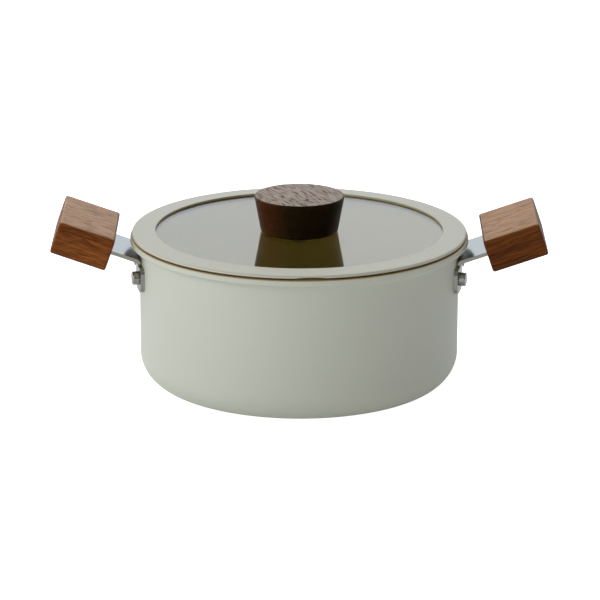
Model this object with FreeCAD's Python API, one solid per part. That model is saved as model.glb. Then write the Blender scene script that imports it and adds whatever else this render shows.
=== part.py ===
"""Low two-handled saucepan, 20 cm, with a flat glass lid in a silicone rim.

Millimetres. +Z is up, the origin is the centre of the base on the surface that the pan
stands on, and X runs through the two handles. The front is -Y.
"""
import FreeCAD, Part
import math
import os

os.makedirs("parts", exist_ok=True)
V = FreeCAD.Vector

# Pot body: one aluminium shell with a ceramic coating
INNER_R = 100.0          # inside of the wall: a nominal 20 cm pan
WALL = 3.0
POT_HEIGHT = 99.0        # standing surface to the top of the rim
FLOOR = 4.4
CORNER_R = 17.0          # inside corner between floor and wall
BASE_RISE = 8.0          # degrees that the underside climbs outside the flat base
RIM_REACH = 6.0          # how far the lip stands out from the wall
RIM_T = 4.2              # height of the lip's outer face
RIM_ROUND = 1.2
RIM_COVE = 4.5           # radius of the hollow under the lip
MOUTH_ROUND = 0.8

# Steel induction disc, pressed into the underside
DISC_T = 1.2
DISC_PROUD = 0.6         # how far it stands below the aluminium
DISC_MARGIN = 3.4        # flat aluminium left round the disc
DISC_GAP = 0.05

# Handle brackets: stamped sheet, a flange on the wall and a strap that rises to the grip
SHEET = 2.4
STRAP_W = 42.0
STRAP_DROP = 11.8        # rim top down to the strap's top face, where it meets the wall
STRAP_FREE = 18.5        # wall to grip along the strap
TONGUE = 25.0            # strap length inside the grip
HANDLE_TILT = 19.0       # degrees above horizontal
BEND_R = 2.5
FLANGE_W = 59.0
FLANGE_BELOW_RIVET = 8.5
FLANGE_ROUND = 4.0
SHOULDER_BELOW_BEND = 0.5
BRACKET_GAP = 0.08       # bracket off the coated wall

# Rivets
RIVET_SPACING = 43.0     # between the two of a bracket
RIVET_DROP = 23.5        # rim top down to the rivets
RIVET_SHANK_R = 2.5
RIVET_HEAD_R = 4.4
RIVET_HEAD_H = 4.0
RIVET_HEAD_ROUND = 0.6
RIVET_INNER_R = 5.2
RIVET_INNER_H = 1.8
RIVET_CLEARANCE = 0.05

# Wooden grips
GRIP_L = 37.2            # along the strap
GRIP_W = 72.0            # across it
GRIP_T = 21.9
GRIP_ABOVE = 11.1        # wood above the strap's top face
GRIP_LONG_ROUND = 3.0    # edges that run along the strap
GRIP_END_ROUND = 1.5
SLOT_CLEARANCE = 0.1

# Grip screws and their threaded inserts, two per grip
SCREW_SPACING = 24.0
SCREW_FROM_FACE = 13.0   # grip's inner face to the screws
SCREW_R = 2.0
SCREW_HEAD_R = 3.8
SCREW_HEAD_H = 2.6
SCREW_HEAD_SUNK = 0.9    # head below the grip's underside
SCREW_CLEARANCE = 0.3
INSERT_R = 3.2
INSERT_L = 8.0
THREAD_GAP = 0.05
SOCKET_SHARE = 0.45      # hexagon socket's corner radius over the head's radius
SOCKET_DEPTH = 1.6

# Lid: flat glass in a silicone ring that rests on the rim
GLASS_T = 4.0
GLASS_RISE = 2.2         # rim top up to the glass's top face
GLASS_HOLE_R = 4.5
MOUTH_CLEARANCE = 0.6    # silicone skirt inside the mouth
SKIRT_WALL = 1.9         # silicone round the edge of the glass
SKIRT_DROP = 2.4         # silicone below the glass
RING_COVER = 4.8         # how far the ring covers the glass
RING_LIP = 1.4           # ring above the glass at its inner edge
RING_FALL = 0.75         # drop of its top from there to the outer round
RING_SHORT = 1.0         # ring's outer edge inside the rim's
RING_EDGE_ROUND = 1.4
RING_SEAT_W = 5.0        # width of silicone that sits on the rim
RING_GAP = 1.1           # open line between the overhang and the rim
RING_LIP_ROUND = 0.5
VENT_W = 18.0            # steam notch in the seat
VENT_RISE = 0.8          # above the open line
VENT_TURN = 3.7          # degrees from the front, towards +X
GLASS_GAP = 0.05

# Knob and what holds it
KNOB_H = 23.7
KNOB_TOP_R = 29.15
KNOB_BOTTOM_R = 24.8
KNOB_OFF_GLASS = 0.3
KNOB_TOP_ROUND = 1.2
KNOB_BOTTOM_ROUND = 0.8
PAD_R = 20.0             # silicone pad let into the knob's underside
PAD_T = 1.2
KNOB_INSERT_R = 4.5
KNOB_INSERT_L = 12.0
KNOB_SCREW_R = 2.45
KNOB_SCREW_HEAD_R = 4.6
KNOB_SCREW_HEAD_H = 2.8
KNOB_SCREW_ENGAGED = 10.0
GASKET_R = 9.0
GASKET_T = 1.2
WASHER_R = 8.0
WASHER_T = 1.0
SPRING_WASHER_R = 4.6
SPRING_WASHER_T = 1.2
SPRING_WASHER_SLIT = 0.8
STACK_BORE = 0.15        # bore of every washer and sleeve over the screw

# Worked out
outer_r = INNER_R + WALL
rim_r = outer_r + RIM_REACH
body_bottom = DISC_PROUD
floor_z = body_bottom + FLOOR
corner_r_out = CORNER_R + WALL
corner_centre_r = INNER_R - CORNER_R
corner_centre_z = floor_z + CORNER_R
rise = math.radians(BASE_RISE)
rise_end_r = corner_centre_r + corner_r_out * math.sin(rise)
rise_end_z = corner_centre_z - corner_r_out * math.cos(rise)
flat_r = rise_end_r - (rise_end_z - body_bottom) / math.tan(rise)
disc_r = flat_r - DISC_MARGIN

bracket_in_r = outer_r + BRACKET_GAP
bracket_out_r = bracket_in_r + SHEET
strap_z = POT_HEIGHT - STRAP_DROP
rivet_z = POT_HEIGHT - RIVET_DROP
rivet_turn = math.degrees(math.asin(RIVET_SPACING / 2 / outer_r))
strap_frame = FreeCAD.Placement(V(outer_r, 0, strap_z), FreeCAD.Rotation(V(0, 1, 0), -HANDLE_TILT))
grip_bottom = GRIP_ABOVE - GRIP_T
screw_x = STRAP_FREE + SCREW_FROM_FACE
screw_head_top = grip_bottom + SCREW_HEAD_SUNK + SCREW_HEAD_H

glass_top = POT_HEIGHT + GLASS_RISE
glass_bottom = glass_top - GLASS_T
skirt_r = INNER_R - MOUTH_CLEARANCE
glass_r = skirt_r - SKIRT_WALL
ring_in_r = glass_r - RING_COVER
ring_out_r = rim_r - RING_SHORT
ring_top = glass_top + RING_LIP
knob_bottom = glass_top + KNOB_OFF_GLASS
knob_top = knob_bottom + KNOB_H
pad_top = glass_top + PAD_T
stack_bore_r = KNOB_SCREW_R + STACK_BORE


def arc(centre, radius, start, end):
    """Arc in the XZ plane, angles in degrees from +X towards +Z."""
    def at(angle):
        a = math.radians(angle)
        return V(centre[0] + radius * math.cos(a), 0, centre[1] + radius * math.sin(a))
    return Part.Arc(at(start), at((start + end) / 2), at(end)).toShape()


def profile(items):
    """Closed wire in the XZ plane from (r, z) points and arcs, joined by straight lines."""
    edges = []
    first = None
    last = None
    for item in items:
        if isinstance(item, tuple):
            begin = V(item[0], 0, item[1])
            end = begin
        else:
            begin = item.valueAt(item.FirstParameter)
            end = item.valueAt(item.LastParameter)
        if last is not None and last.distanceToPoint(begin) > 1e-6:
            edges.append(Part.makeLine(last, begin))
        if not isinstance(item, tuple):
            edges.append(item)
        if first is None:
            first = begin
        last = end
    if last.distanceToPoint(first) > 1e-6:
        edges.append(Part.makeLine(last, first))
    return Part.Wire(edges)


def turned(items):
    """Solid of revolution about Z."""
    return Part.Face(profile(items)).revolve(V(0, 0, 0), V(0, 0, 1), 360)


def cylinder(radius, z_low, z_high):
    """Upright cylinder with its seam at -X, away from the right-hand handle."""
    solid = Part.makeCylinder(radius, z_high - z_low, V(0, 0, z_low))
    solid.rotate(V(0, 0, 0), V(0, 0, 1), 180)
    return solid


def tube(r_out, r_in, z_low, z_high):
    return cylinder(r_out, z_low, z_high).cut(cylinder(r_in, z_low - 1, z_high + 1))


def box(x, y, z):
    """Box from three (low, high) pairs."""
    return Part.makeBox(x[1] - x[0], y[1] - y[0], z[1] - z[0], V(x[0], y[0], z[0]))


def edges_along(shape, axis):
    """Straight edges of a shape that run along an axis."""
    found = []
    for edge in shape.Edges:
        if isinstance(edge.Curve, Part.Line) and abs(abs(edge.Curve.Direction.dot(axis)) - 1) < 1e-6:
            found.append(edge)
    return found


def hex_prism(corner_r, height, z_low):
    corners = []
    for i in range(7):
        a = math.radians(60 * i)
        corners.append(V(corner_r * math.cos(a), corner_r * math.sin(a), z_low))
    return Part.Face(Part.makePolygon(corners)).extrude(V(0, 0, height))


def cap_screw(shank_r, shank_l, head_r, head_h):
    """Screw along +Z with its head below Z = 0 and a hexagon socket in the head."""
    dome = head_h * 0.35
    socket_r = head_r * SOCKET_SHARE
    body = turned([(0, shank_l), (0, -head_h), (head_r - dome, -head_h),
                   arc((head_r - dome, -head_h + dome), dome, -90, 0),
                   (head_r, 0), (shank_r, 0), (shank_r, shank_l)])
    return body.cut(hex_prism(socket_r, SOCKET_DEPTH, -head_h))


def mirrored(shape):
    """The same piece for the other handle."""
    return shape.mirror(V(0, 0, 0), V(1, 0, 0))


def radial(shape, turn):
    """Turn a shape made along +X at Z = 0 to a rivet's place."""
    return shape.transformed(FreeCAD.Placement(V(0, 0, rivet_z), FreeCAD.Rotation(V(0, 0, 1), turn)).toMatrix())


def rivet_hole(turn, r_from, r_to):
    hole = Part.makeCylinder(RIVET_SHANK_R + RIVET_CLEARANCE, r_to - r_from, V(r_from, 0, 0), V(1, 0, 0))
    return radial(hole, turn)


def make_pot_body():
    lip_low = POT_HEIGHT - RIM_T
    cove = (outer_r + RIM_COVE, lip_low - RIM_COVE)
    edge = rim_r - RIM_ROUND
    centre = (corner_centre_r, corner_centre_z)
    body = turned([
        (0, DISC_T),
        (disc_r + DISC_GAP, DISC_T),
        (disc_r + DISC_GAP, body_bottom),
        (flat_r, body_bottom),
        arc(centre, corner_r_out, BASE_RISE - 90, 0),
        arc(cove, RIM_COVE, 180, 90),
        arc((edge, lip_low + RIM_ROUND), RIM_ROUND, -90, 0),
        arc((edge, POT_HEIGHT - RIM_ROUND), RIM_ROUND, 0, 90),
        arc((INNER_R + MOUTH_ROUND, POT_HEIGHT - MOUTH_ROUND), MOUTH_ROUND, 90, 180),
        arc(centre, CORNER_R, 0, -90),
        (0, floor_z)])
    for side in (0, 180):
        for turn in (-rivet_turn, rivet_turn):
            body = body.cut(rivet_hole(side + turn, INNER_R - WALL, outer_r + WALL))
    return body


def make_base_disc():
    return cylinder(disc_r, 0, DISC_T)


def make_bracket():
    """Right-hand bracket; its flange follows the wall."""
    tall = 40.0
    turn_angle = math.radians(90 - HANDLE_TILT) / 2
    shoulder_z = strap_z - (BEND_R + SHEET) * math.tan(turn_angle) - SHOULDER_BELOW_BEND
    flange_bottom = rivet_z - FLANGE_BELOW_RIVET
    shell = tube(bracket_out_r, bracket_in_r, flange_bottom - tall, strap_z + tall)

    strap = box((-tall / 2, STRAP_FREE + TONGUE), (-FLANGE_W, FLANGE_W), (-SHEET, 0))
    strap = strap.transformed(strap_frame.toMatrix())
    strap = strap.cut(cylinder(bracket_in_r, strap_z - tall, strap_z + tall))
    above = box((-tall, tall * 2), (-FLANGE_W, FLANGE_W), (0, tall * 2))
    above = above.transformed(strap_frame.toMatrix())
    core = box((0, bracket_out_r), (-FLANGE_W, FLANGE_W), (flange_bottom - tall, strap_z + tall))
    sheet = strap.fuse(core.common(shell).cut(above)).removeSplitter()

    underside = V(bracket_out_r, 0, strap_z - SHEET / math.cos(math.radians(HANDLE_TILT)))
    sheet = sheet.makeFillet(BEND_R, [nearest_edge(sheet, underside)])
    sheet = sheet.makeFillet(BEND_R + SHEET, [nearest_edge(sheet, V(bracket_in_r, 0, strap_z))])
    reach = (outer_r - tall, bracket_out_r + tall * 2)
    plate = box(reach, (-FLANGE_W / 2, FLANGE_W / 2), (flange_bottom, shoulder_z))
    plate = plate.makeFillet(FLANGE_ROUND, edges_along(plate, V(1, 0, 0)))
    above_plate = box(reach, (-STRAP_W / 2, STRAP_W / 2), (rivet_z, strap_z + tall))
    bracket = sheet.common(plate.fuse(above_plate).removeSplitter())

    for turn in (-rivet_turn, rivet_turn):
        bracket = bracket.cut(rivet_hole(turn, INNER_R, bracket_out_r + WALL))
    return bracket.cut(screw_cuts(SCREW_R + SCREW_CLEARANCE, -SHEET - 1, 1))


def nearest_edge(shape, point):
    """Edge that passes nearest a point."""
    vertex = Part.Vertex(point)
    return min(shape.Edges, key=lambda edge: edge.distToShape(vertex)[0])


def screw_cuts(radius, low, high):
    """Cylinders at a grip's two screws, across the strap."""
    pair = []
    for side in (-1, 1):
        place = V(screw_x, side * SCREW_SPACING / 2, low)
        pair.append(Part.makeCylinder(radius, high - low, place))
    return Part.makeCompound(pair).transformed(strap_frame.toMatrix())


def make_rivet(turn):
    face = bracket_out_r
    inner_face = math.sqrt(INNER_R ** 2 - RIVET_INNER_R ** 2) - RIVET_CLEARANCE
    dome_r = (RIVET_INNER_R ** 2 + RIVET_INNER_H ** 2) / 2 / RIVET_INNER_H
    half_angle = math.degrees(math.asin(RIVET_INNER_R / dome_r))
    top = face + RIVET_HEAD_H
    solid = turned([
        arc((0, inner_face - RIVET_INNER_H + dome_r), dome_r, -90, -90 + half_angle),
        (RIVET_SHANK_R, inner_face),
        (RIVET_SHANK_R, face),
        (RIVET_HEAD_R, face),
        arc((RIVET_HEAD_R - RIVET_HEAD_ROUND, top - RIVET_HEAD_ROUND), RIVET_HEAD_ROUND, 0, 90),
        (0, top)])
    along_x = FreeCAD.Placement(V(0, 0, 0), FreeCAD.Rotation(V(0, 1, 0), 90))
    return radial(solid.transformed(along_x.toMatrix()), turn)


def make_grip():
    x = (STRAP_FREE, STRAP_FREE + GRIP_L)
    y = (-GRIP_W / 2, GRIP_W / 2)
    block = box(x, y, (grip_bottom, GRIP_ABOVE))
    block = block.makeFillet(GRIP_LONG_ROUND, edges_along(block, V(1, 0, 0)))
    ends = []
    for edge in block.Edges:
        if edge.BoundBox.XLength < 1e-6:
            ends.append(edge)
    block = block.makeFillet(GRIP_END_ROUND, ends)
    slot_half = STRAP_W / 2 + SLOT_CLEARANCE
    block = block.cut(box((STRAP_FREE - GRIP_END_ROUND, STRAP_FREE + TONGUE + SLOT_CLEARANCE),
                          (-slot_half, slot_half),
                          (-SHEET - SLOT_CLEARANCE, SLOT_CLEARANCE)))
    block = block.transformed(strap_frame.toMatrix())
    block = block.cut(screw_cuts(SCREW_HEAD_R + SCREW_CLEARANCE, grip_bottom - 1, screw_head_top))
    block = block.cut(screw_cuts(SCREW_R + SCREW_CLEARANCE, grip_bottom, 0))
    return block.cut(screw_cuts(INSERT_R + THREAD_GAP, 0, INSERT_L + SLOT_CLEARANCE + THREAD_GAP))


def make_grip_screws():
    pair = []
    for side in (-1, 1):
        length = INSERT_L - screw_head_top
        screw = cap_screw(SCREW_R, length, SCREW_HEAD_R, SCREW_HEAD_H)
        screw.translate(V(screw_x, side * SCREW_SPACING / 2, screw_head_top - THREAD_GAP))
        pair.append(screw)
    return Part.makeCompound(pair).transformed(strap_frame.toMatrix())


def make_grip_inserts():
    pair = []
    for side in (-1, 1):
        insert = tube(INSERT_R, SCREW_R + THREAD_GAP, SLOT_CLEARANCE, INSERT_L + SLOT_CLEARANCE)
        insert.translate(V(screw_x, side * SCREW_SPACING / 2, 0))
        pair.append(insert)
    return Part.makeCompound(pair).transformed(strap_frame.toMatrix())


def make_lid_glass():
    return tube(glass_r, GLASS_HOLE_R, glass_bottom, glass_top)


def make_lid_ring():
    seat_out = INNER_R + RING_SEAT_W
    gap_z = POT_HEIGHT + RING_GAP
    skirt_low = glass_bottom - SKIRT_DROP
    edge = (ring_out_r - RING_EDGE_ROUND, ring_top - RING_FALL - RING_EDGE_ROUND)
    lip = (ring_in_r + RING_LIP_ROUND, ring_top - RING_LIP_ROUND)
    ring = turned([
        (ring_in_r, glass_top + GLASS_GAP),
        arc(lip, RING_LIP_ROUND, 180, 90),
        arc(edge, RING_EDGE_ROUND, 90, 0),
        (ring_out_r, gap_z),
        (seat_out, gap_z),
        (seat_out, POT_HEIGHT),
        (skirt_r, POT_HEIGHT),
        (skirt_r, skirt_low),
        (ring_in_r, skirt_low),
        (ring_in_r, glass_bottom - GLASS_GAP),
        (glass_r + GLASS_GAP, glass_bottom - GLASS_GAP),
        (glass_r + GLASS_GAP, glass_top + GLASS_GAP)])
    notch = box((INNER_R, rim_r), (-VENT_W / 2, VENT_W / 2), (POT_HEIGHT - 1, gap_z + VENT_RISE))
    notch.rotate(V(0, 0, 0), V(0, 0, 1), -90 + VENT_TURN)
    return ring.cut(notch)


def make_lid_knob():
    """Truncated cone, wider at the top, hollowed below for its pad and insert."""
    knob = turned([(0, knob_bottom), (KNOB_BOTTOM_R, knob_bottom), (KNOB_TOP_R, knob_top), (0, knob_top)])
    rims = [edge for edge in knob.Edges if isinstance(edge.Curve, Part.Circle)]
    rims.sort(key=lambda edge: edge.CenterOfMass.z)
    knob = knob.makeFillet(KNOB_TOP_ROUND, [rims[-1]])
    rims = [edge for edge in knob.Edges if isinstance(edge.Curve, Part.Circle)]
    rims.sort(key=lambda edge: edge.CenterOfMass.z)
    knob = knob.makeFillet(KNOB_BOTTOM_ROUND, [rims[0]])
    recess_top = pad_top + THREAD_GAP
    knob = knob.cut(cylinder(PAD_R + THREAD_GAP, recess_top - PAD_T * 2, recess_top))
    return knob.cut(cylinder(KNOB_INSERT_R + THREAD_GAP, pad_top, recess_top + KNOB_INSERT_L))


def make_knob_pad():
    return tube(PAD_R, stack_bore_r, glass_top, pad_top)


def make_knob_insert():
    return tube(KNOB_INSERT_R, KNOB_SCREW_R + THREAD_GAP, pad_top, pad_top + KNOB_INSERT_L)


def make_hole_sleeve():
    return tube(GLASS_HOLE_R - GLASS_GAP, stack_bore_r, glass_bottom, glass_top)


def make_glass_gasket():
    return tube(GASKET_R, stack_bore_r, glass_bottom - GASKET_T, glass_bottom)


def make_steel_washer():
    top = glass_bottom - GASKET_T
    return tube(WASHER_R, stack_bore_r, top - WASHER_T, top)


def make_spring_washer():
    top = glass_bottom - GASKET_T - WASHER_T
    ring = tube(SPRING_WASHER_R, stack_bore_r, top - SPRING_WASHER_T, top)
    half = SPRING_WASHER_SLIT / 2
    return ring.cut(box((0, SPRING_WASHER_R * 2), (-half, half), (top - SPRING_WASHER_T * 2, top + 1)))


def make_knob_screw():
    seat = glass_bottom - GASKET_T - WASHER_T - SPRING_WASHER_T
    length = pad_top + KNOB_SCREW_ENGAGED - seat
    screw = cap_screw(KNOB_SCREW_R, length, KNOB_SCREW_HEAD_R, KNOB_SCREW_HEAD_H)
    screw.translate(V(0, 0, seat))
    return screw


parts = {
    "pot_body": make_pot_body(),
    "base_disc": make_base_disc(),
    "lid_glass": make_lid_glass(),
    "lid_ring": make_lid_ring(),
    "lid_knob": make_lid_knob(),
    "knob_pad": make_knob_pad(),
    "knob_insert": make_knob_insert(),
    "knob_screw": make_knob_screw(),
    "glass_hole_sleeve": make_hole_sleeve(),
    "glass_gasket": make_glass_gasket(),
    "steel_washer": make_steel_washer(),
    "spring_washer": make_spring_washer(),
}
handle = {
    "bracket": make_bracket(),
    "grip": make_grip(),
    "grip_screws": make_grip_screws(),
    "grip_inserts": make_grip_inserts(),
    "front_rivet": make_rivet(-rivet_turn),
    "back_rivet": make_rivet(rivet_turn),
}
for name, shape in handle.items():
    parts["right_" + name] = shape
    parts["left_" + name] = mirrored(shape)

for name, shape in parts.items():
    shape.exportStep("parts/" + name + ".step")
    print(name, len(shape.Solids), shape.isValid(), round(shape.Volume / 1000, 2), "cm3")
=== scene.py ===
"""Looks for the low cream saucepan with two wooden grips and a glass lid, whose brown tint is painted
shade.

Sizes are in millimetres and become metres where a mesh is made. Z is up, the front is -Y.
"""
import math

import bmesh
import bpy
from mathutils import Matrix, Vector


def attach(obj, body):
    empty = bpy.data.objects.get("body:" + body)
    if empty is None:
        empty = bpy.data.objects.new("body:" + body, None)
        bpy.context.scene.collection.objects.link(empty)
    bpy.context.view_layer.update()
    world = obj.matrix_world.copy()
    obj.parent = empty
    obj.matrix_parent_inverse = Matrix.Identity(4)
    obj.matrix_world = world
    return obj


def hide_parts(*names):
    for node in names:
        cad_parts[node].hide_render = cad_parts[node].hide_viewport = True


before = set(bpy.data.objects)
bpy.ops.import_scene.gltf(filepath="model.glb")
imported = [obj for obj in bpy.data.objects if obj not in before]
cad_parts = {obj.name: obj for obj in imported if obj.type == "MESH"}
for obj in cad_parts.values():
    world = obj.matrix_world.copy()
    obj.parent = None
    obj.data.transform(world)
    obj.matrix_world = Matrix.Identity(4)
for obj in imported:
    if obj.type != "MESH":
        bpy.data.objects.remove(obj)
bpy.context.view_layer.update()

MM = 0.001

# Pot
INNER_R = 100.0
WALL = 3.0
OUTER_R = INNER_R + WALL
RIM_R = OUTER_R + 6.0
POT_HEIGHT = 99.0
LIP_LOW = POT_HEIGHT - 4.2
LIP_UNDER_ROUND = 4.5
LIP_ROUND = 1.2
MOUTH_ROUND = 0.8
FLOOR_Z = 5.0
BASE_Z = 0.6
BASE_FLAT_R = 74.4
BASE_FLAT_ROUND = 0.5
BASE_RISE = 8.0          # degrees that the underside climbs outside its flat
CORNER_R = 17.0
CORNER_R_OUT = CORNER_R + WALL
DISC_R = 71.0
DISC_T = 1.2
DISC_ROUND = 0.25
DISC_CLEAR = 0.05        # around the disc
DISC_TOP_CLEAR = 0.01    # above it
RECESS_ROUND = 0.15      # edge of the disc's recess

# Lid
GLASS_R = 97.5
GLASS_LOW = 97.2
GLASS_TOP = GLASS_LOW + 4.0
GLASS_ROUND = 0.6
GLASS_HOLE_R = 4.5
GLASS_HOLE_ROUND = 0.3
GLASS_CLEAR = 0.05       # between the glass and its ring
RING_IN_R = 92.7
RING_IN_ROUND = 0.5
RING_OUT_R = 108.0
RING_OUT_ROUND = 1.4
RING_TOP = 102.6
RING_FALL = 0.75         # from the inner lip to the outer edge
RING_SEAT_R = 105.0
RING_SEAT_ROUND = 0.2
RING_SKIRT_R = 99.4
RING_SKIRT_LOW = 94.8
RING_SKIRT_ROUND = 0.6
RING_GAP_Z = 100.1
NOTCH_W = 22.0
NOTCH_TOP = 100.9
NOTCH_OUT_R = RIM_R + 2.0
NOTCH_TURN = 3.7         # degrees from the front, towards the right
KNOB_LOW = 101.5
KNOB_TOP = KNOB_LOW + 23.7
KNOB_LOW_R = 24.8
KNOB_LOW_ROUND = 1.4
KNOB_TOP_R = 29.15
KNOB_TOP_ROUND = 1.3

# Handles
STRAP_Z = POT_HEIGHT - 11.8   # strap's top face where it meets the wall
HANDLE_TILT = 19.0            # degrees
STRAP_W = 42.0
SHEET = 2.4
BRACKET_GAP = 0.08            # bracket off the coated wall
GRIP_FROM = 18.5              # along the strap
GRIP_L = 37.2
GRIP_W = 72.0
GRIP_TOP = 11.1               # across the strap
GRIP_LOW = GRIP_TOP - 21.9
GRIP_LONG_ROUND = 4.4
GRIP_END_ROUND = 1.5
TONGUE = 25.0                 # strap inside the grip
SLOT_CLEAR = 0.15
SLOT_PAST = 2.0               # slot's cutter past the grip's end
RIVET_Z = POT_HEIGHT - 23.5
RIVET_TURN = 12.05            # degrees either side of the handle's centre line
RIVET_FACE = OUTER_R + BRACKET_GAP + SHEET
RIVET_SHANK_R = 2.5
RIVET_HEAD_R = 4.4
RIVET_HEAD_H = 4.0
RIVET_HEAD_ROUND = 0.6
DOME_R = 5.2                  # rivet's head inside the pot
DOME_FACE = INNER_R - 0.2
DOME_SHOULDER = 0.8
DOME_SHOULDER_H = 0.9
DOME_SHOULDER_ROUND = 0.5
DOME_FLAT_R = 2.0
DOME_FLAT_ROUND = 1.4
DOME_TOP = INNER_R - 1.8

# Fineness of the shapes
SPIN_STEPS = 192
RIVET_STEPS = 48
NOTCH_STEPS = 512
GRIP_LONG_STEPS = 8
EDGE_STEPS = 5
WELD = 1e-6                   # metres
BRACKET_WELD = 2e-6
FLAT_ANGLE = 0.5              # degrees under which neighbouring faces are one
SHARP_ANGLE = 35.0

# Finishes
TOP_LIGHT_SLOPE = (0.80, 0.94)         # upward slope over which the wood's tone is painted lighter: painted light and sheen from above
SWAY = 0.012                  # metres that the fibres wander
SWAY_SCALE = (18.0, 40.0, 40.0)
STREAKS_PER_BAND = 3.5
FIBRE_SCALE = 1500.0
PORE_SCALE = 750.0
PORE_EDGE = (0.545, 0.635)
PORE_TONE = (0.008, 0.004, 0.002, 1.0)
PORE_DARKNESS = 0.8
WOOD_DEPTH = 0.0002
COATING_DEPTH = 0.00001

# Studio
BACK_LIGHT = 1.6
BACK_REACH = (-0.1, 0.7)      # Y of the direction over which the light behind comes up
BACK_HIGH = (0.34, 0.55)      # Z of the direction over which it turns white
BACK_LOW_TINT = (0.67, 0.745, 0.87)
FRONT_LIGHT = 0.29
FRONT_REACH = (-0.7, 0.1)
LEFT_LIGHT = 2.3
LEFT_REACH_Y = (-0.9, 0.1)
LEFT_REACH_X = (-0.9, -0.1)
COOL = (0.975, 1.0, 1.04)
FLOOR_R = 6.0                 # metres, as are the places below
FLOOR_STEPS = 96
FLOOR_GLOW = 0.11
FLOOR_SEEN_GLOW = 1.0
SOFTBOX_PLACE = (-1.9, -0.35, 0.9)
SOFTBOX_AIM = (0, 0, 0.06)
SOFTBOX_SIZE = 1.3
SOFTBOX_POWER = 8.4
CAMERA_AIM = (0.0006, 0.0, 0.05455)
CAMERA_AWAY = 2.4
CAMERA_RISE = 16.53           # degrees above level
CAMERA_ROLL = 0.21
CAMERA_LENS = 222.0
CAMERA_SENSOR = 36.0

WHITE = (1.0, 1.0, 1.0, 1.0)


# ---------------------------------------------------------------- shapes

def lathe(corners, closed=False, steps=SPIN_STEPS):
    """Profile of (radius, height, rounding) corners, spun about Z."""
    bm = bmesh.new()
    wire = [bm.verts.new((r * MM, 0, z * MM)) for r, z, _ in corners]
    for a, b in zip(wire, wire[1:]):
        bm.edges.new((a, b))
    if closed:
        bm.edges.new((wire[-1], wire[0]))
    for vert, (_, _, rounding) in zip(wire, corners):
        if rounding:
            bmesh.ops.bevel(bm, geom=[vert], offset=rounding * MM, offset_type="OFFSET",
                            segments=max(EDGE_STEPS, round(rounding)), profile=0.5,
                            affect="VERTICES", material=-1)
    bmesh.ops.spin(bm, geom=bm.verts[:] + bm.edges[:], axis=(0, 0, 1), cent=(0, 0, 0),
                   angle=math.tau, steps=steps, use_merge=True)
    tidy_shell(bm)
    return bm


def tidy_shell(bm):
    """Weld doubled points and turn every face outwards."""
    bmesh.ops.remove_doubles(bm, verts=bm.verts[:], dist=WELD)
    bmesh.ops.recalc_face_normals(bm, faces=bm.faces[:])


def block(x, y, z):
    """Box from three (low, high) pairs."""
    bm = bmesh.new()
    size = Vector((x[1] - x[0], y[1] - y[0], z[1] - z[0])) * MM
    middle = Vector((x[0] + x[1], y[0] + y[1], z[0] + z[1])) * MM / 2
    bmesh.ops.create_cube(bm, size=1, matrix=Matrix.Translation(middle) @ Matrix.Diagonal(size).to_4x4())
    return bm


def edges_along(bm, axis):
    """Edges that run along an axis."""
    return [e for e in bm.edges
            if abs((e.verts[1].co - e.verts[0].co).normalized().dot(axis)) > 0.999]


def round_edges(bm, edges, radius, segments=EDGE_STEPS):
    """Round edges over to a radius."""
    bmesh.ops.bevel(bm, geom=edges, offset=radius * MM, offset_type="OFFSET", segments=segments,
                    profile=0.5, affect="EDGES", material=-1, clamp_overlap=True)


def move(bm, matrix):
    """Move, turn or mirror a whole shape."""
    bmesh.ops.transform(bm, matrix=matrix, verts=bm.verts[:])


def carved(bm, cutter):
    """Cut one closed shape out of another."""
    pair = []
    for shape in (bm, cutter):
        mesh = bpy.data.meshes.new("carving")
        shape.to_mesh(mesh)
        shape.free()
        pair.append(bpy.data.objects.new("carving", mesh))
        bpy.context.scene.collection.objects.link(pair[-1])
    cut = pair[0].modifiers.new("cut", "BOOLEAN")
    cut.operation = "DIFFERENCE"
    cut.solver = "EXACT"
    cut.object = pair[1]
    shown = pair[0].evaluated_get(bpy.context.evaluated_depsgraph_get())
    result = bmesh.new()
    result.from_mesh(shown.to_mesh())
    shown.to_mesh_clear()
    for obj in pair:
        mesh = obj.data
        bpy.data.objects.remove(obj)
        bpy.data.meshes.remove(mesh)
    return result


def strap_place(side):
    """From the strap's own axes (along, across, off its face) to the right (1) or left (-1) handle."""
    tilt = Matrix.Rotation(math.radians(-HANDLE_TILT), 4, "Y")
    place = Matrix.Translation(Vector((OUTER_R, 0, STRAP_Z)) * MM) @ tilt
    return Matrix.Scale(side, 4, (1, 0, 0)) @ place


def piece(name, bm, body, material, node):
    """Finished piece: its mesh, body and finish, with the CAD node that it stands for hidden."""
    mesh = bpy.data.meshes.new(name)
    bm.to_mesh(mesh)
    bm.free()
    mesh.materials.append(material)
    mesh.shade_smooth()
    mesh.set_sharp_from_angle(angle=math.radians(SHARP_ANGLE))
    obj = bpy.data.objects.new(name, mesh)
    bpy.context.scene.collection.objects.link(obj)
    even = obj.modifiers.new("even_shading", "WEIGHTED_NORMAL")
    even.keep_sharp = True
    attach(obj, body)
    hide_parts(node)


# ---------------------------------------------------------------- finishes

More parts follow.
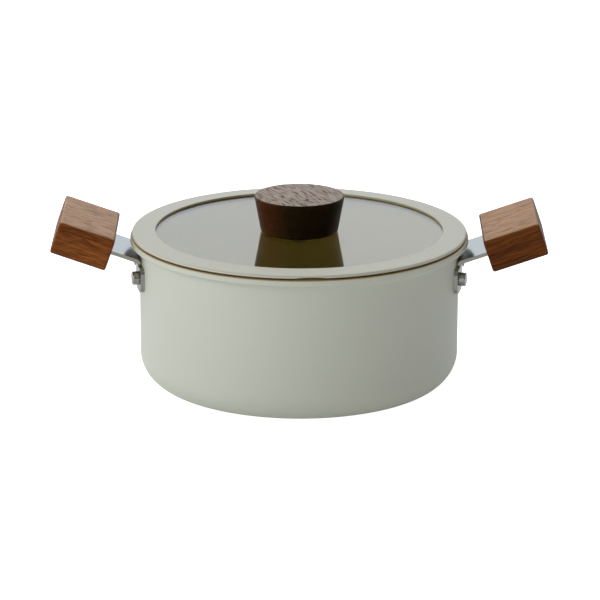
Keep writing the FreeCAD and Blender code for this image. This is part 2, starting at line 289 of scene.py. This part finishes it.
class Nodes:
    """Short ways to add and join nodes in one tree."""

    def __init__(self, tree):
        self.tree = tree

    def add(self, kind, inputs=None, **settings):
        """Node of a kind, with its inputs joined or set."""
        node = self.tree.nodes.new(kind)
        for key, value in settings.items():
            setattr(node, key, value)
        self.put(node, inputs or {})
        return node

    def put(self, node, inputs):
        """Join sockets to a node's inputs, and set values on the others."""
        for key, value in inputs.items():
            if isinstance(value, bpy.types.NodeSocket):
                self.tree.links.new(value, node.inputs[key])
            else:
                node.inputs[key].default_value = value

    def math(self, operation, a, b=0.0, clamp=False):
        return self.add("ShaderNodeMath", {0: a, 1: b}, operation=operation, use_clamp=clamp).outputs[0]

    def mix(self, factor, a, b):
        """Colour between two."""
        return self.add("ShaderNodeMix", {0: factor, 6: a, 7: b}, data_type="RGBA").outputs[2]

    def ramp(self, value, low, high, out_low=0.0, out_high=1.0):
        """Smooth step between two values, and level beyond them."""
        return self.add("ShaderNodeMapRange", {0: value, 1: low, 2: high, 3: out_low, 4: out_high},
                        interpolation_type="SMOOTHSTEP").outputs[0]

    def noise(self, vector, scale, detail=3.0, roughness=0.5):
        return self.add("ShaderNodeTexNoise", {"Vector": vector, "Scale": scale, "Detail": detail,
                                               "Roughness": roughness}).outputs[0]

    def scaled(self, vector, scale):
        """Vector with each axis scaled."""
        return self.add("ShaderNodeMapping", {"Vector": vector, "Scale": scale}).outputs[0]

    def drawn_out(self, vector, share):
        """Vector that changes along X at only a share of its speed, which draws a pattern out."""
        return self.scaled(vector, (share, 1.0, 1.0))

    def split(self, vector):
        """X, Y and Z of a vector."""
        return self.add("ShaderNodeSeparateXYZ", {0: vector}).outputs

    def from_axis(self, where):
        """Distance from the pan's axis."""
        flat = self.scaled(where, (1.0, 1.0, 0.0))
        return self.add("ShaderNodeVectorMath", {0: flat}, operation="LENGTH").outputs["Value"]

    def shaded(self, colour, level):
        """Colour times a level."""
        return self.add("ShaderNodeVectorMath", {0: colour, 3: level}, operation="SCALE").outputs[0]

    def bump(self, shader, height, distance):
        """Relief on a shader."""
        relief = self.add("ShaderNodeBump", {"Height": height, "Distance": distance})
        self.put(shader, {"Normal": relief.outputs[0]})


def new_group(name, inputs, outputs):
    """Shader node group with (kind, name) inputs and outputs: (group, nodes, start, end)."""
    group = bpy.data.node_groups.new(name, "ShaderNodeTree")
    for in_out, sockets in (("INPUT", inputs), ("OUTPUT", outputs)):
        for kind, label in sockets:
            group.interface.new_socket(name=label, in_out=in_out, socket_type="NodeSocket" + kind)
    return group, Nodes(group), group.nodes.new("NodeGroupInput"), group.nodes.new("NodeGroupOutput")


def rgb(r, g, b):
    """Colour from screen values 0 to 255."""
    def linear(v):
        v /= 255
        return v / 12.92 if v <= 0.04045 else ((v + 0.055) / 1.055) ** 2.4
    return (linear(r), linear(g), linear(b), 1.0)


def finish_of(name, **values):
    """Material with a Principled shader: (material, nodes, shader, object coordinates)."""
    material = bpy.data.materials.new(name)
    material.use_nodes = True
    n = Nodes(material.node_tree)
    shader = material.node_tree.nodes["Principled BSDF"]
    n.put(shader, {key.replace("_", " "): value for key, value in values.items()})
    where = n.add("ShaderNodeTexCoord").outputs["Object"]
    return material, n, shader, where


def build_walnut_group():
    """Walnut with its fibres along X: figure bands, fine streaks and fibre, and short open pores."""
    group, n, start, end = new_group(
        "walnut_grain",
        [("Vector", "Along"), ("Float", "Band size"), ("Float", "Pore strength"), ("Float", "Pore size"),
         ("Color", "Light"), ("Color", "Dark")],
        [("Color", "Color"), ("Float", "Height"), ("Float", "Roughness")])
    along = start.outputs["Along"]
    wander = n.math("SUBTRACT", n.noise(n.scaled(along, SWAY_SCALE), 1.0, 2.0), 0.5)
    aside = n.math("MULTIPLY", wander, SWAY)
    sideways = n.add("ShaderNodeCombineXYZ", {1: aside, 2: aside}).outputs[0]
    swayed = n.add("ShaderNodeVectorMath", {0: along, 1: sideways}, operation="ADD").outputs[0]
    band_scale = n.math("DIVIDE", 1 / MM, start.outputs["Band size"])
    streak_scale = n.math("MULTIPLY", band_scale, STREAKS_PER_BAND)
    pore_scale = n.math("DIVIDE", PORE_SCALE, start.outputs["Pore size"])
    bands = n.noise(n.drawn_out(swayed, 0.08), band_scale, 3.0, 0.55)
    streaks = n.noise(n.drawn_out(swayed, 0.06), streak_scale, 3.0, 0.6)
    fibre = n.noise(n.drawn_out(swayed, 0.04), FIBRE_SCALE, 2.0, 0.6)
    pores = n.noise(n.drawn_out(swayed, 0.07), pore_scale, 1.0, 0.4)
    tone = 0.0
    for layer, low, high, share in ((bands, 0.34, 0.66, 0.38), (streaks, 0.34, 0.64, 0.37),
                                    (fibre, 0.3, 0.7, 0.25)):
        tone = n.math("ADD", tone, n.math("MULTIPLY", n.ramp(layer, low, high), share), clamp=True)
    wood = n.mix(tone, start.outputs["Dark"], start.outputs["Light"])
    pore_mask = n.math("MULTIPLY", n.ramp(pores, *PORE_EDGE), start.outputs["Pore strength"])
    n.put(end, {
        "Color": n.mix(pore_mask, wood, n.mix(PORE_DARKNESS, wood, PORE_TONE)),
        "Height": n.math("SUBTRACT", n.math("MULTIPLY", fibre, 0.3), pore_mask),
        "Roughness": n.math("ADD", 0.40, n.math("MULTIPLY", pore_mask, 0.35))})
    return group


def build_speckle_group():
    """Fine unevenness of a sprayed or moulded surface."""
    group, n, start, end = new_group(
        "fine_speckle",
        [("Vector", "Where"), ("Float", "Scale"), ("Color", "Base")],
        [("Color", "Color"), ("Float", "Height")])
    fine = n.noise(start.outputs["Where"], start.outputs["Scale"], 3.0, 0.6)
    cloud = n.noise(start.outputs["Where"], 22.0, 2.0)
    level = 1.0
    for layer, share in ((fine, 0.06), (cloud, 0.02)):
        level = n.math("ADD", level, n.math("MULTIPLY", n.math("SUBTRACT", layer, 0.5), share))
    n.put(end, {"Color": n.shaded(start.outputs["Base"], level), "Height": fine})
    return group


def build_brushed_group():
    """Fine lines along X, as brushing or rolling leaves in metal."""
    group, n, start, end = new_group(
        "brushed_lines",
        [("Vector", "Along"), ("Float", "Scale"), ("Color", "Base"), ("Float", "Roughness")],
        [("Color", "Color"), ("Float", "Roughness"), ("Float", "Height")])
    lines = n.noise(n.drawn_out(start.outputs["Along"], 0.02), start.outputs["Scale"], 2.0, 0.6)
    haze = n.noise(start.outputs["Along"], 60.0, 2.0)
    level = n.math("ADD", 0.93, n.math("MULTIPLY", lines, 0.14))
    unevenness = n.math("ADD", n.math("MULTIPLY", lines, 0.08), n.math("MULTIPLY", haze, 0.06))
    n.put(end, {
        "Color": n.shaded(start.outputs["Base"], level),
        "Roughness": n.math("ADD", start.outputs["Roughness"], unevenness),
        "Height": lines})
    return group


walnut_group = build_walnut_group()
speckle_group = build_speckle_group()
brushed_group = build_brushed_group()


def walnut(name, turn, band_size, pore_size, side, top, pores, shift=(0.0, 0.0, 0.0), side_shade_along_x=None):
    """Oiled walnut with its fibres turned about each axis (degrees) and shifted (metres).

    side and top are (light, dark) tones: upward faces take the top tones, painted light and sheen from
    above.
    pores is how strongly the pores show on the side and on the top.
    The last argument gives the stretch of X in millimetres over which the side darkens, and its (light,
    dark) tones there: painted shade on the side away from the light at the left.
    """
    material, n, shader, where = finish_of(name, Specular_IOR_Level=0.08)
    turned = n.add("ShaderNodeMapping", {"Vector": where, "Location": shift,
                                         "Rotation": tuple(math.radians(a) for a in turn)})
    facing = n.add("ShaderNodeNewGeometry").outputs["Normal"]
    # Upward faces are painted lighter: painted light and sheen from above.
    painted_top_light = n.ramp(n.split(facing)[2], *TOP_LIGHT_SLOPE)
    if side_shade_along_x:
        # The side is painted darker along X: painted shade away from the light at the left.
        low, high, deep = side_shade_along_x
        painted_side_shade = n.ramp(n.split(where)[0], low * MM, high * MM)
        side = [n.mix(painted_side_shade, tone, deep_tone) for tone, deep_tone in zip(side, deep)]
    light, dark = (n.mix(painted_top_light, side_tone, top_tone) for side_tone, top_tone in zip(side, top))
    grain = n.add("ShaderNodeGroup", {}, node_tree=walnut_group)
    n.put(grain, {
        "Along": turned.outputs[0], "Band size": band_size, "Pore size": pore_size,
        "Light": light, "Dark": dark, "Pore strength": n.ramp(painted_top_light, 0.0, 1.0, *pores)})
    n.put(shader, {"Base Color": grain.outputs["Color"], "Roughness": grain.outputs["Roughness"]})
    n.bump(shader, grain.outputs["Height"], WOOD_DEPTH)
    return material


def coated(name, base, scale, painted_shade_bands=(), **values):
    """Sprayed ceramic or moulded silicone.

    Each band of painted shade is its colour, the (low, high) radii and heights between which it lies, and
    its softness.
    """
    material, n, shader, where = finish_of(name, **values)
    speckle = n.add("ShaderNodeGroup", {}, node_tree=speckle_group)
    n.put(speckle, {"Where": where, "Scale": scale, "Base": base})
    colour = speckle.outputs["Color"]
    # Bands of painted shade, mixed over the speckled colour.
    for tint, radii, heights, soft in painted_shade_bands:
        mask = 1.0
        for value, (low, high) in ((n.from_axis(where), radii), (n.split(where)[2], heights)):
            inside = n.math("MULTIPLY", n.ramp(value, (low - soft) * MM, low * MM),
                            n.ramp(value, high * MM, (high + soft) * MM, 1.0, 0.0))
            mask = n.math("MULTIPLY", mask, inside)
        colour = n.mix(mask, colour, tint)
    n.put(shader, {"Base Color": colour})
    n.bump(shader, speckle.outputs["Height"], COATING_DEPTH)
    return material


def metal(name, base, roughness, scale=3000.0, depth=0.00001):
    """Bare metal with fine lines along X."""
    material, n, shader, where = finish_of(name, Metallic=1.0)
    lines = n.add("ShaderNodeGroup", {}, node_tree=brushed_group)
    n.put(lines, {"Along": where, "Scale": scale, "Base": base, "Roughness": roughness})
    n.put(shader, {"Base Color": lines.outputs["Color"], "Roughness": lines.outputs["Roughness"]})
    n.bump(shader, lines.outputs["Height"], depth)
    return material


def turned_metal(name, base, groove, roughness, pitch, depth):
    """Metal with rings left by a lathe, about the pan's axis."""
    material, n, shader, where = finish_of(name, Metallic=1.0)
    rings = n.math("SINE", n.math("MULTIPLY", n.from_axis(where), math.tau / pitch))
    haze = n.math("MULTIPLY", n.noise(where, 300.0), 0.12)
    n.put(shader, {"Base Color": n.mix(n.ramp(rings, -1.0, 1.0, 0.0, 0.25), base, groove),
                   "Roughness": n.math("ADD", roughness, haze)})
    n.bump(shader, rings, depth)
    return material


def tinted(name, light, dark):
    """Clear glass with a tint that clouds a little."""
    material, n, shader, where = finish_of(name, Roughness=0.0, IOR=1.52, Transmission_Weight=1.0)
    n.put(shader, {"Base Color": n.mix(n.noise(where, 9.0, 1.0), light, dark)})
    return material


# The coating's golden band at the lid's gap is painted warm shade.
cream_coating = coated(
    "cream_coating", rgb(210, 212, 196), scale=1400.0, Roughness=0.45,
    painted_shade_bands=[(rgb(190, 158, 98), (103.5, 108.4), (POT_HEIGHT - 0.5, POT_HEIGHT + 1), 0.5)])
# The silicone's olive inner lip wall and dark brown seat are painted shade: shade on the lip beside the
# glass, and the shadow in the lid's gap.
cream_silicone = coated(
    "cream_silicone", rgb(202, 200, 182), scale=1000.0, Roughness=0.5,
    painted_shade_bands=[(rgb(188, 178, 132), (RING_IN_R - 1, RING_IN_R + 0.1), (GLASS_LOW, RING_TOP - 0.35), 0.15),
            (rgb(70, 42, 16), (RING_SKIRT_R - 1, RIM_R), (POT_HEIGHT - 1, RING_GAP_Z + 0.02), 0.15)])
clear_silicone = coated(
    "clear_silicone", rgb(200, 200, 196), scale=900.0, Roughness=0.35, Transmission_Weight=0.4)
# The glass's warm brown tint is painted shade: it darkens and yellows the shaded inside of the pot seen
# through the lid.
tinted_glass = tinted("tinted_glass", light=(0.90, 0.735, 0.36, 1.0), dark=(0.86, 0.71, 0.34, 1.0))
strap_steel = metal("strap_steel", rgb(158, 157, 146), roughness=0.09, depth=0.000002)
rivet_steel = metal("rivet_steel", rgb(164, 163, 156), roughness=0.10, scale=2200.0, depth=0.000004)
screw_steel = metal("screw_steel", rgb(180, 182, 182), roughness=0.28)
disc_steel = turned_metal("disc_steel", rgb(188, 190, 190), groove=(0.3, 0.3, 0.3, 1.0),
                          roughness=0.28, pitch=0.0012, depth=0.00002)
insert_brass = metal("insert_brass", rgb(214, 178, 102), roughness=0.3)
# The knob's side darkens towards the right: painted shade away from the light at the left. Its top tones
# are painted light and sheen.
knob_walnut = walnut(
    "knob_walnut", turn=(0, 0, 60), band_size=9.0, pore_size=0.60,
    side=(rgb(80, 42, 12), rgb(57, 28, 7)), top=(rgb(178, 158, 138), rgb(150, 129, 108)),
    pores=(0.2, 0.95), side_shade_along_x=(-24.0, -4.0, (rgb(38, 26, 9), rgb(28, 18, 5))))
# Upward faces of both grips get painted light and sheen; the right grip's darker tones are painted shade,
# as less light reaches it than the left.
left_walnut = walnut(
    "left_grip_walnut", turn=(0, -HANDLE_TILT, 0), band_size=5.5, pore_size=0.75,
    side=(rgb(164, 95, 42), rgb(82, 40, 12)), top=(rgb(212, 168, 124), rgb(176, 130, 90)),
    pores=(0.5, 0.5), shift=(0.013, 0.021, 0.007))
shaded_right_walnut = walnut(
    "right_grip_walnut_painted_shade", turn=(0, HANDLE_TILT, 0), band_size=5.5, pore_size=0.75,
    side=(rgb(126, 70, 26), rgb(70, 32, 6)), top=(rgb(192, 148, 103), rgb(156, 111, 71)),
    pores=(0.4, 0.4), shift=(0.047, 0.063, 0.029))


# ---------------------------------------------------------------- pot

def make_pot():
    """Wall, floor and flared lip, with a shallow recess for the disc."""
    rise = math.tan(math.radians(BASE_RISE))
    corner_z = BASE_Z + (OUTER_R - BASE_FLAT_R) * rise
    corner_round = CORNER_R_OUT * math.tan(math.radians((90 - BASE_RISE) / 2))
    recess_r = DISC_R + DISC_CLEAR
    bm = lathe([
        (0, DISC_T, 0), (recess_r, DISC_T, 0), (recess_r, BASE_Z, RECESS_ROUND),
        (BASE_FLAT_R, BASE_Z, BASE_FLAT_ROUND), (OUTER_R, corner_z, corner_round),
        (OUTER_R, LIP_LOW, LIP_UNDER_ROUND), (RIM_R, LIP_LOW, LIP_ROUND), (RIM_R, POT_HEIGHT, LIP_ROUND),
        (INNER_R, POT_HEIGHT, MOUTH_ROUND), (INNER_R, FLOOR_Z, CORNER_R), (0, FLOOR_Z, 0)])
    piece("pot_shell", bm, "pot", cream_coating, "pot_body")


def make_disc():
    """Steel disc in the underside."""
    top = DISC_T - DISC_TOP_CLEAR
    bm = lathe([(0, 0, 0), (DISC_R, 0, DISC_ROUND), (DISC_R, top, 0), (0, top, 0)])
    piece("induction_disc", bm, "pot", disc_steel, "base_disc")


# ---------------------------------------------------------------- lid

def make_ring():
    """Silicone ring with a groove for the glass, a skirt in the pot's mouth and an arched steam notch."""
    groove_r = GLASS_R + GLASS_CLEAR
    groove_low = GLASS_LOW - GLASS_CLEAR
    groove_top = GLASS_TOP + GLASS_CLEAR
    bm = lathe([
        (RING_IN_R, groove_top, 0), (RING_IN_R, RING_TOP, RING_IN_ROUND),
        (RING_OUT_R, RING_TOP - RING_FALL, RING_OUT_ROUND), (RING_OUT_R, RING_GAP_Z, RING_SEAT_ROUND),
        (RING_SEAT_R, RING_GAP_Z, 0), (RING_SEAT_R, POT_HEIGHT, RING_SEAT_ROUND),
        (RING_SKIRT_R, POT_HEIGHT, RING_SEAT_ROUND), (RING_SKIRT_R, RING_SKIRT_LOW, RING_SKIRT_ROUND),
        (RING_IN_R, RING_SKIRT_LOW, RING_SKIRT_ROUND), (RING_IN_R, groove_low, 0),
        (groove_r, groove_low, 0), (groove_r, groove_top, 0)], closed=True)
    rise = NOTCH_TOP - RING_GAP_Z
    arch_r = ((NOTCH_W / 2) ** 2 + rise ** 2) / (2 * rise)
    middle = Vector(((INNER_R + NOTCH_OUT_R) / 2, 0, NOTCH_TOP - arch_r)) * MM
    lie_outward = Matrix.Rotation(math.radians(90), 4, "Y")
    notch = bmesh.new()
    bmesh.ops.create_cone(notch, cap_ends=True, segments=NOTCH_STEPS, radius1=arch_r * MM,
                          radius2=arch_r * MM, depth=(NOTCH_OUT_R - INNER_R) * MM,
                          matrix=Matrix.Translation(middle) @ lie_outward)
    move(notch, Matrix.Rotation(math.radians(NOTCH_TURN - 90), 4, "Z"))
    piece("lid_rim", carved(bm, notch), "lid", cream_silicone, "lid_ring")


def make_glass():
    """Flat pane with a hole for the knob's screw."""
    bm = lathe([
        (GLASS_HOLE_R, GLASS_LOW, GLASS_HOLE_ROUND), (GLASS_R, GLASS_LOW, GLASS_ROUND),
        (GLASS_R, GLASS_TOP, GLASS_ROUND), (GLASS_HOLE_R, GLASS_TOP, GLASS_HOLE_ROUND)], closed=True)
    piece("lid_pane", bm, "lid", tinted_glass, "lid_glass")


def make_knob():
    """Truncated cone, wider at the top."""
    bm = lathe([
        (0, KNOB_LOW, 0), (KNOB_LOW_R, KNOB_LOW, KNOB_LOW_ROUND),
        (KNOB_TOP_R, KNOB_TOP, KNOB_TOP_ROUND), (0, KNOB_TOP, 0)])
    piece("turned_knob", bm, "lid", knob_walnut, "lid_knob")


# ---------------------------------------------------------------- handles

def make_grip(side, name, material):
    """Wooden block with rounded edges and a slot for the strap."""
    bm = block((GRIP_FROM, GRIP_FROM + GRIP_L), (-GRIP_W / 2, GRIP_W / 2), (GRIP_LOW, GRIP_TOP))
    round_edges(bm, edges_along(bm, Vector((1, 0, 0))), GRIP_LONG_ROUND, GRIP_LONG_STEPS)
    ends = [e for e in bm.edges if sum(abs(f.normal.x) > 0.99 for f in e.link_faces) == 1]
    round_edges(bm, ends, GRIP_END_ROUND)
    slot_half = STRAP_W / 2 + SLOT_CLEAR
    slot = block((GRIP_FROM - SLOT_PAST, GRIP_FROM + TONGUE), (-slot_half, slot_half),
                 (-SHEET - SLOT_CLEAR, SLOT_CLEAR))
    bm = carved(bm, slot)
    move(bm, strap_place(side))
    tidy_shell(bm)
    piece(name + "_handle_grip", bm, "pot", material, name + "_grip")


def make_bracket(name):
    """The stamped bracket's own shape, welded and with its flat faces whole."""
    bm = bmesh.new()
    bm.from_mesh(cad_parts[name + "_bracket"].data)
    bmesh.ops.remove_doubles(bm, verts=bm.verts[:], dist=BRACKET_WELD)
    bmesh.ops.dissolve_limit(bm, angle_limit=math.radians(FLAT_ANGLE), verts=bm.verts[:], edges=bm.edges[:])
    piece(name + "_steel_bracket", bm, "pot", strap_steel, name + "_bracket")


def make_rivet(side, turn, name):
    """Cylindrical head outside and low dome inside, about the rivet's own axis."""
    head_end = RIVET_FACE + RIVET_HEAD_H
    bm = lathe([
        (0, head_end, 0), (RIVET_HEAD_R, head_end, RIVET_HEAD_ROUND),
        (RIVET_HEAD_R, RIVET_FACE, 0), (RIVET_SHANK_R, RIVET_FACE, 0),
        (RIVET_SHANK_R, DOME_FACE, 0), (DOME_R, DOME_FACE, 0),
        (DOME_R - DOME_SHOULDER, DOME_FACE - DOME_SHOULDER_H, DOME_SHOULDER_ROUND),
        (DOME_FLAT_R, DOME_TOP, DOME_FLAT_ROUND), (0, DOME_TOP, 0)], steps=RIVET_STEPS)
    outward = Matrix.Rotation(math.radians(90), 4, "Y")
    around = Matrix.Rotation(math.radians(turn), 4, "Z")
    move(bm, Matrix.Scale(side, 4, (1, 0, 0)) @ Matrix.Translation((0, 0, RIVET_Z * MM)) @ around @ outward)
    tidy_shell(bm)
    piece(name + "_stud", bm, "pot", rivet_steel, name + "_rivet")


make_pot()
make_disc()
make_ring()
make_glass()
make_knob()
for side, name, wood in ((1, "right", shaded_right_walnut), (-1, "left", left_walnut)):
    make_grip(side, name, wood)
    make_bracket(name)
    make_rivet(side, -RIVET_TURN, name + "_front")
    make_rivet(side, RIVET_TURN, name + "_back")

hidden_finishes = {
    "knob_pad": cream_silicone, "knob_insert": insert_brass, "knob_screw": screw_steel,
    "glass_hole_sleeve": clear_silicone, "glass_gasket": clear_silicone,
    "steel_washer": screw_steel, "spring_washer": screw_steel,
    "left_grip_screws": screw_steel, "right_grip_screws": screw_steel,
    "left_grip_inserts": insert_brass, "right_grip_inserts": insert_brass,
}
for name, material in hidden_finishes.items():
    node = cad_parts[name]
    node.data.materials.clear()
    node.data.materials.append(material)


# ---------------------------------------------------------------- studio

def make_floor():
    """White floor. It looks brighter to the camera than it lights the pan."""
    bm = bmesh.new()
    bmesh.ops.create_circle(bm, cap_ends=True, segments=FLOOR_STEPS, radius=FLOOR_R)
    mesh = bpy.data.meshes.new("studio_floor")
    bm.to_mesh(mesh)
    bm.free()
    material, n, shader, _ = finish_of("studio_floor", Roughness=0.9, Specular_IOR_Level=0.0)
    seen = n.add("ShaderNodeLightPath").outputs["Is Camera Ray"]
    n.put(shader, {"Base Color": (0.8, 0.8, 0.8, 1.0), "Emission Color": WHITE,
                   "Emission Strength": n.ramp(seen, 0.0, 1.0, FLOOR_GLOW, FLOOR_SEEN_GLOW)})
    mesh.materials.append(material)
    floor = bpy.data.objects.new("studio_floor", mesh)
    bpy.context.scene.collection.objects.link(floor)


def make_world():
    """White surround: bright behind the pan and cooler low down, dim in front, with a glow on the left."""
    world = bpy.data.worlds.new("studio")
    bpy.context.scene.world = world
    world.use_nodes = True
    n = Nodes(world.node_tree)
    way_x, way_y, way_z = n.split(n.add("ShaderNodeTexCoord").outputs["Generated"])
    behind = n.ramp(way_y, *BACK_REACH, 0.0, BACK_LIGHT)
    high = n.ramp(way_z, *BACK_HIGH)
    ahead = n.ramp(way_y, *FRONT_REACH, FRONT_LIGHT, 0.0)
    leftward = n.math("MULTIPLY", n.ramp(way_y, *LEFT_REACH_Y, LEFT_LIGHT, 0.0),
                      n.ramp(way_x, *LEFT_REACH_X, 1.0, 0.0))
    light = n.add("ShaderNodeCombineXYZ")
    for channel, (cool_share, low_share) in enumerate(zip(COOL, BACK_LOW_TINT)):
        from_behind = n.math("MULTIPLY", behind, n.ramp(high, 0.0, 1.0, low_share, 1.0))
        from_sides = n.math("ADD", ahead, n.math("MULTIPLY", leftward, cool_share))
        n.put(light, {channel: n.math("ADD", from_behind, from_sides)})
    seen = n.add("ShaderNodeLightPath").outputs["Is Camera Ray"]
    n.put(world.node_tree.nodes["Background"], {"Color": n.mix(seen, light.outputs[0], WHITE)})


def make_softbox():
    """Large round light at the upper left, out of the camera's sight."""
    light = bpy.data.lights.new("key_softbox", "AREA")
    light.shape = "DISK"
    light.size = SOFTBOX_SIZE
    light.energy = SOFTBOX_POWER
    light.color = COOL
    obj = bpy.data.objects.new("key_softbox", light)
    bpy.context.scene.collection.objects.link(obj)
    obj.location = SOFTBOX_PLACE
    obj.rotation_euler = (Vector(SOFTBOX_AIM) - Vector(SOFTBOX_PLACE)).to_track_quat("-Z", "Y").to_euler()
    obj.visible_camera = False


def make_camera():
    """Long lens from the front, a little above."""
    camera = bpy.data.cameras.new("camera")
    camera.lens = CAMERA_LENS
    camera.sensor_width = CAMERA_SENSOR
    obj = bpy.data.objects.new("camera", camera)
    bpy.context.scene.collection.objects.link(obj)
    aim = Vector(CAMERA_AIM)
    rise = math.radians(CAMERA_RISE)
    obj.location = aim + Vector((0.0, -math.cos(rise), math.sin(rise))) * CAMERA_AWAY
    look = (aim - obj.location).to_track_quat("-Z", "Y").to_matrix().to_4x4()
    roll = Matrix.Rotation(math.radians(CAMERA_ROLL), 4, "Z")
    obj.rotation_euler = (look @ roll).to_euler()
    bpy.context.scene.camera = obj


make_floor()
make_world()
make_softbox()
make_camera()
bpy.context.scene.view_settings.view_transform = "Standard"
